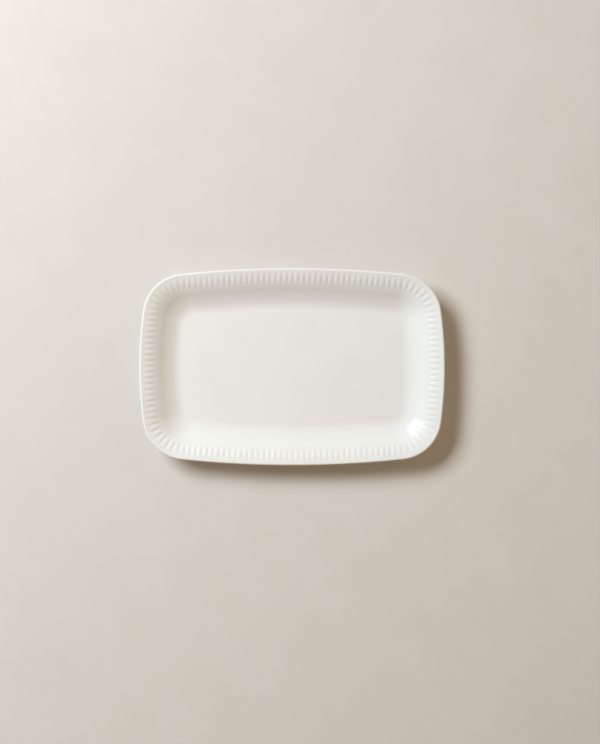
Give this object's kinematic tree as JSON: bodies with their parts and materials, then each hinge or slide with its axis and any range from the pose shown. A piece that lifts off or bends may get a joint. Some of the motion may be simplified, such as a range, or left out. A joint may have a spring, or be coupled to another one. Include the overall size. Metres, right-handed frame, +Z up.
{
  "type": "serving platter",
  "caption": "Oblong china serving platter with round corners, a flat well, pressed ribs round the rim and a foot ring.",
  "frame": {"origin": "middle of the platter, on the table under the foot ring", "axes": "+X along the length, +Y across the width, +Z up"},
  "size_m": [0.33, 0.213, 0.0256],
  "materials": {
    "biscuit": "fired china body, left bare and matt on the foot ring",
    "glaze": "clear gloss glaze over a warm white body"
  },
  "bodies": {
    "root": {"china_body": "biscuit", "glaze_coat": "glaze", "base_glaze": "glaze"}
  },
  "joints": []
}
